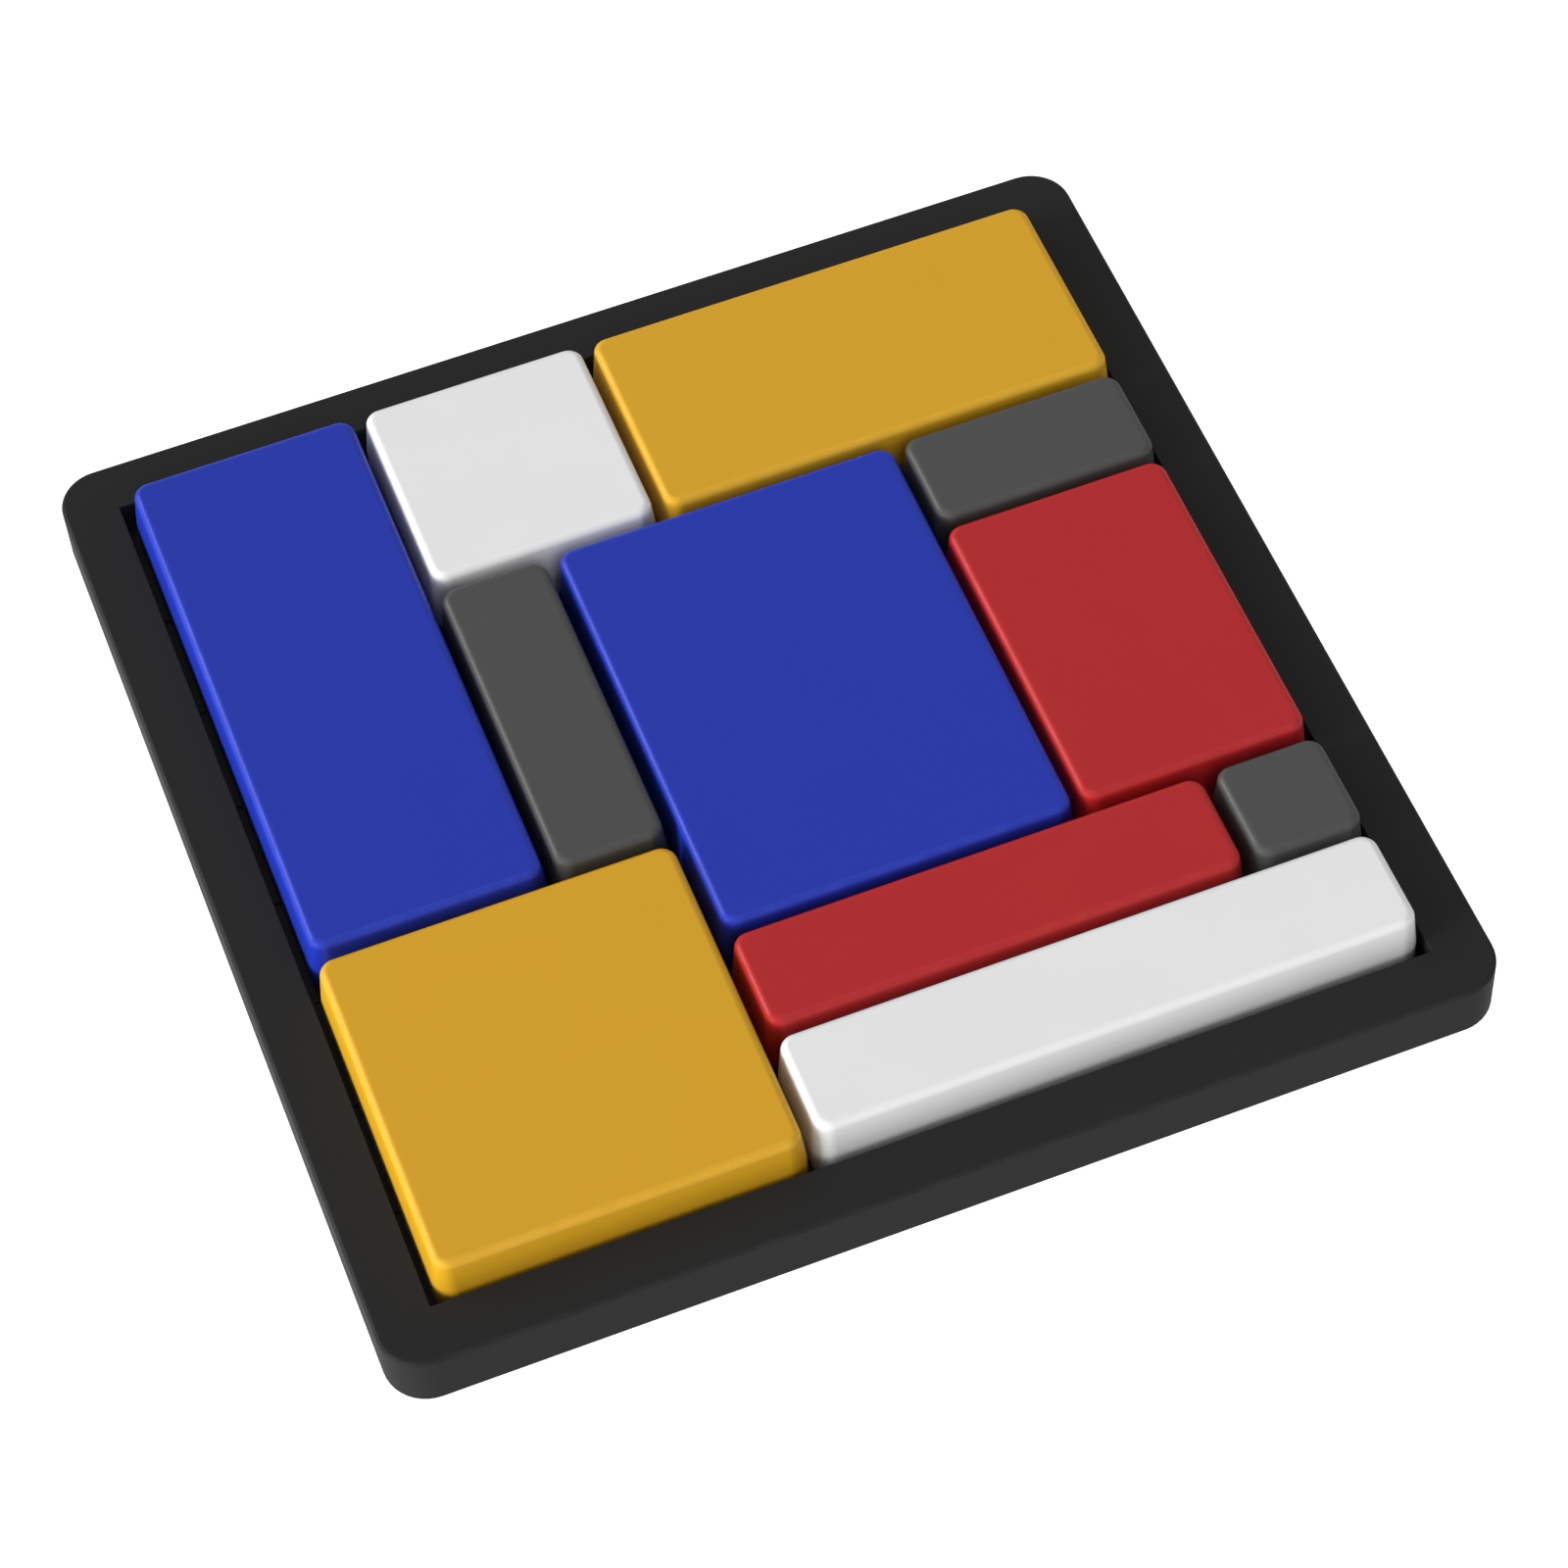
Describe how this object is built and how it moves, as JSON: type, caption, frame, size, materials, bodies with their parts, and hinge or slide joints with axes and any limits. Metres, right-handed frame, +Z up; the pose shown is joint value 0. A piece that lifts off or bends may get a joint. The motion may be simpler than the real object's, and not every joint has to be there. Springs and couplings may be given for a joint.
{
  "type": "rectangle packing puzzle",
  "caption": "Square black tray filled edge to edge with rectangular blocks in blue, red, yellow, white and grey that lift out and are packed back in.",
  "frame": {"origin": "under the middle of the tray, on the surface that the rubber feet stand on", "axes": "+X to the right along the tray's front edge, +Y to its back edge, +Z up out of the tray, the way the blocks lift"},
  "size_m": [0.1346, 0.1346, 0.0137],
  "materials": {
    "tray_plastic": "satin, finely textured moulded plastic",
    "blue_plastic": "satin, finely textured moulded plastic",
    "white_plastic": "satin, finely textured moulded plastic",
    "yellow_plastic": "satin, finely textured moulded plastic",
    "grey_plastic": "satin, finely textured moulded plastic",
    "red_plastic": "satin, finely textured moulded plastic",
    "foot_rubber": "matt",
    "screw_steel": "plain zinc-plated"
  },
  "bodies": {
    "tray": {"tray_frame": "tray_plastic", "floor_panel": "tray_plastic", "foot_front_left": "foot_rubber", "foot_front_right": "foot_rubber", "foot_back_left": "foot_rubber", "foot_back_right": "foot_rubber", "panel_screw_front_left": "screw_steel", "panel_screw_front_right": "screw_steel", "panel_screw_back_left": "screw_steel", "panel_screw_back_right": "screw_steel"},
    "blue_2x5_block": {"blue_2x5_shell": "blue_plastic", "blue_2x5_base_cap": "blue_plastic"},
    "white_2x2_block": {"white_2x2_shell": "white_plastic", "white_2x2_base_cap": "white_plastic"},
    "yellow_4x2_block": {"yellow_4x2_shell": "yellow_plastic", "yellow_4x2_base_cap": "yellow_plastic"},
    "grey_1x3_block": {"grey_1x3_shell": "grey_plastic", "grey_1x3_base_cap": "grey_plastic"},
    "blue_3x4_block": {"blue_3x4_shell": "blue_plastic", "blue_3x4_base_cap": "blue_plastic"},
    "grey_2x1_block": {"grey_2x1_shell": "grey_plastic", "grey_2x1_base_cap": "grey_plastic"},
    "red_2x3_block": {"red_2x3_shell": "red_plastic", "red_2x3_base_cap": "red_plastic"},
    "yellow_3x3_block": {"yellow_3x3_shell": "yellow_plastic", "yellow_3x3_base_cap": "yellow_plastic"},
    "red_4x1_block": {"red_4x1_shell": "red_plastic", "red_4x1_base_cap": "red_plastic"},
    "grey_1x1_block": {"grey_1x1_shell": "grey_plastic", "grey_1x1_base_cap": "grey_plastic"},
    "white_5x1_block": {"white_5x1_shell": "white_plastic", "white_5x1_base_cap": "white_plastic"}
  },
  "joints": [
    {"name": "blue_2x5_lift", "type": "slide", "parent": "tray", "child": "blue_2x5_block", "axis": [0, 0, 1], "range_m": [0, 0.03]},
    {"name": "white_2x2_lift", "type": "slide", "parent": "tray", "child": "white_2x2_block", "axis": [0, 0, 1], "range_m": [0, 0.03]},
    {"name": "yellow_4x2_lift", "type": "slide", "parent": "tray", "child": "yellow_4x2_block", "axis": [0, 0, 1], "range_m": [0, 0.03]},
    {"name": "grey_1x3_lift", "type": "slide", "parent": "tray", "child": "grey_1x3_block", "axis": [0, 0, 1], "range_m": [0, 0.03]},
    {"name": "blue_3x4_lift", "type": "slide", "parent": "tray", "child": "blue_3x4_block", "axis": [0, 0, 1], "range_m": [0, 0.03]},
    {"name": "grey_2x1_lift", "type": "slide", "parent": "tray", "child": "grey_2x1_block", "axis": [0, 0, 1], "range_m": [0, 0.03]},
    {"name": "red_2x3_lift", "type": "slide", "parent": "tray", "child": "red_2x3_block", "axis": [0, 0, 1], "range_m": [0, 0.03]},
    {"name": "yellow_3x3_lift", "type": "slide", "parent": "tray", "child": "yellow_3x3_block", "axis": [0, 0, 1], "range_m": [0, 0.03]},
    {"name": "red_4x1_lift", "type": "slide", "parent": "tray", "child": "red_4x1_block", "axis": [0, 0, 1], "range_m": [0, 0.03]},
    {"name": "grey_1x1_lift", "type": "slide", "parent": "tray", "child": "grey_1x1_block", "axis": [0, 0, 1], "range_m": [0, 0.03]},
    {"name": "white_5x1_lift", "type": "slide", "parent": "tray", "child": "white_5x1_block", "axis": [0, 0, 1], "range_m": [0, 0.03]}
  ]
}
